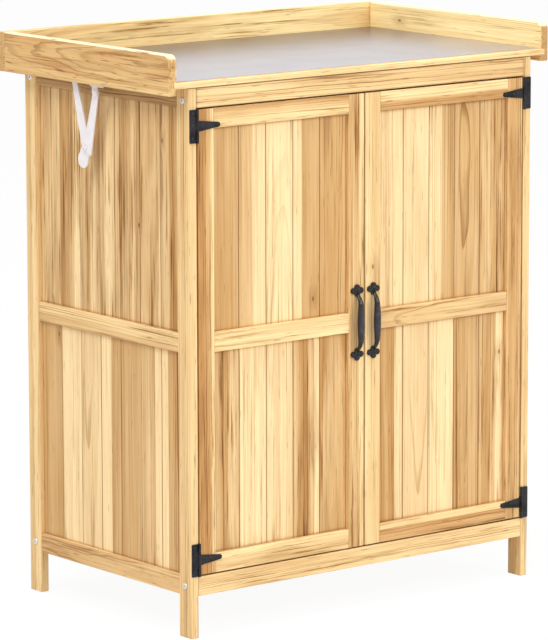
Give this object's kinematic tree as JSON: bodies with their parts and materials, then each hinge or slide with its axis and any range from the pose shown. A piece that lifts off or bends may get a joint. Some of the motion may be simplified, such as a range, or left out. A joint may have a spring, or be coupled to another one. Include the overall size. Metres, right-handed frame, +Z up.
{
  "type": "garden storage cabinet with hinged tray top",
  "caption": "Softwood garden cabinet with inset boarded doors on T hinges, a shelf, and a metal-topped tray lid on folding stays.",
  "frame": {"origin": "on the ground under the middle of the whole cabinet", "axes": "+X to the right seen from the front, +Y from the doors to the rear, +Z up"},
  "size_m": [0.807, 0.4875, 0.956],
  "materials": {
    "frame_wood": "planed, clear water-based stain",
    "board_wood": "planed tongued and grooved boards",
    "tray_wood": "planed, clear water-based stain",
    "slat_wood": "planed slats",
    "panel_wood": "sanded panel under the metal top",
    "galvanised_steel": "galvanised sheet",
    "zinc_bolts": "zinc plated",
    "zinc_hinge": "zinc plated",
    "white_steel": "white coated",
    "black_steel": "black powder coat",
    "black_cast_iron": "satin black",
    "catch_plastic": "moulded housing"
  },
  "bodies": {
    "cabinet": {"front_left_post": "frame_wood", "front_right_post": "frame_wood", "rear_left_post": "frame_wood", "rear_right_post": "frame_wood", "front_top_rail": "frame_wood", "front_bottom_rail": "frame_wood", "rear_top_rail": "frame_wood", "rear_middle_rail": "frame_wood", "rear_bottom_rail": "frame_wood", "left_side_top_rail": "frame_wood", "left_side_middle_rail": "frame_wood", "left_side_bottom_rail": "frame_wood", "right_side_top_rail": "frame_wood", "right_side_middle_rail": "frame_wood", "right_side_bottom_rail": "frame_wood", "left_side_upper_boards": "board_wood", "left_side_lower_boards": "board_wood", "right_side_upper_boards": "board_wood", "right_side_lower_boards": "board_wood", "rear_boards": "board_wood", "floor_boards": "slat_wood", "shelf_boards": "slat_wood", "slat_bearers": "slat_wood", "cabinet_bolts": "zinc_bolts", "door_hinge_plates": "black_steel", "door_catches": "catch_plastic", "lid_hinge_body_leaves": "zinc_hinge", "stay_wall_pivots": "white_steel"},
    "left_door": {"left_door_hinge_stile": "frame_wood", "left_door_meeting_stile": "frame_wood", "left_door_top_rail": "frame_wood", "left_door_middle_rail": "frame_wood", "left_door_bottom_rail": "frame_wood", "left_door_upper_boards": "board_wood", "left_door_lower_boards": "board_wood", "left_door_hinge_straps": "black_steel", "left_door_handle": "black_cast_iron", "left_door_strike": "zinc_hinge"},
    "right_door": {"right_door_hinge_stile": "frame_wood", "right_door_meeting_stile": "frame_wood", "right_door_top_rail": "frame_wood", "right_door_middle_rail": "frame_wood", "right_door_bottom_rail": "frame_wood", "right_door_upper_boards": "board_wood", "right_door_lower_boards": "board_wood", "right_door_hinge_straps": "black_steel", "right_door_handle": "black_cast_iron", "right_door_strike": "zinc_hinge"},
    "lid": {"tray_panel": "panel_wood", "tray_front_strip": "tray_wood", "tray_left_board": "tray_wood", "tray_right_board": "tray_wood", "tray_back_board": "tray_wood", "galvanised_sheet": "galvanised_steel", "lid_hinge_lid_leaves": "zinc_hinge", "stay_lid_plates": "white_steel"},
    "left_wall_arm": {"left_stay_wall_arm": "white_steel"},
    "left_lid_arm": {"left_stay_lid_arm": "white_steel"},
    "right_wall_arm": {"right_stay_wall_arm": "white_steel"},
    "right_lid_arm": {"right_stay_lid_arm": "white_steel"}
  },
  "joints": [
    {"name": "left_door_hinge", "type": "hinge", "parent": "cabinet", "child": "left_door", "pos_m": [-0.3487, -0.22975, 0.485], "axis": [0, 0, -1], "range_deg": [0, 180]},
    {"name": "right_door_hinge", "type": "hinge", "parent": "cabinet", "child": "right_door", "pos_m": [0.3487, -0.22975, 0.485], "axis": [0, 0, 1], "range_deg": [0, 180]},
    {"name": "lid_hinge", "type": "hinge", "parent": "cabinet", "child": "lid", "pos_m": [0, 0.22935, 0.8865], "axis": [-1, 0, 0], "range_deg": [0, 60]},
    {"name": "left_stay_wall_pivot", "type": "hinge", "parent": "cabinet", "child": "left_wall_arm", "pos_m": [-0.38, 0.05915, 0.89], "axis": [-1, 0, 0], "range_deg": [0, 155.44]},
    {"name": "left_stay_knuckle", "type": "hinge", "parent": "left_wall_arm", "child": "left_lid_arm", "pos_m": [-0.3824, 0.02731, 0.78012], "axis": [1, 0, 0], "range_deg": [0, 100.05]},
    {"name": "right_stay_wall_pivot", "type": "hinge", "parent": "cabinet", "child": "right_wall_arm", "pos_m": [0.38, 0.05915, 0.89], "axis": [-1, 0, 0], "range_deg": [0, 155.44]},
    {"name": "right_stay_knuckle", "type": "hinge", "parent": "right_wall_arm", "child": "right_lid_arm", "pos_m": [0.3824, 0.02731, 0.78012], "axis": [1, 0, 0], "range_deg": [0, 100.05]}
  ],
  "couplings": [
    {"joint": "left_stay_wall_pivot", "follows": "lid_hinge", "ratio": 2.5905},
    {"joint": "left_stay_knuckle", "follows": "lid_hinge", "ratio": 1.6673},
    {"joint": "right_stay_wall_pivot", "follows": "lid_hinge", "ratio": 2.5905},
    {"joint": "right_stay_knuckle", "follows": "lid_hinge", "ratio": 1.6673}
  ]
}
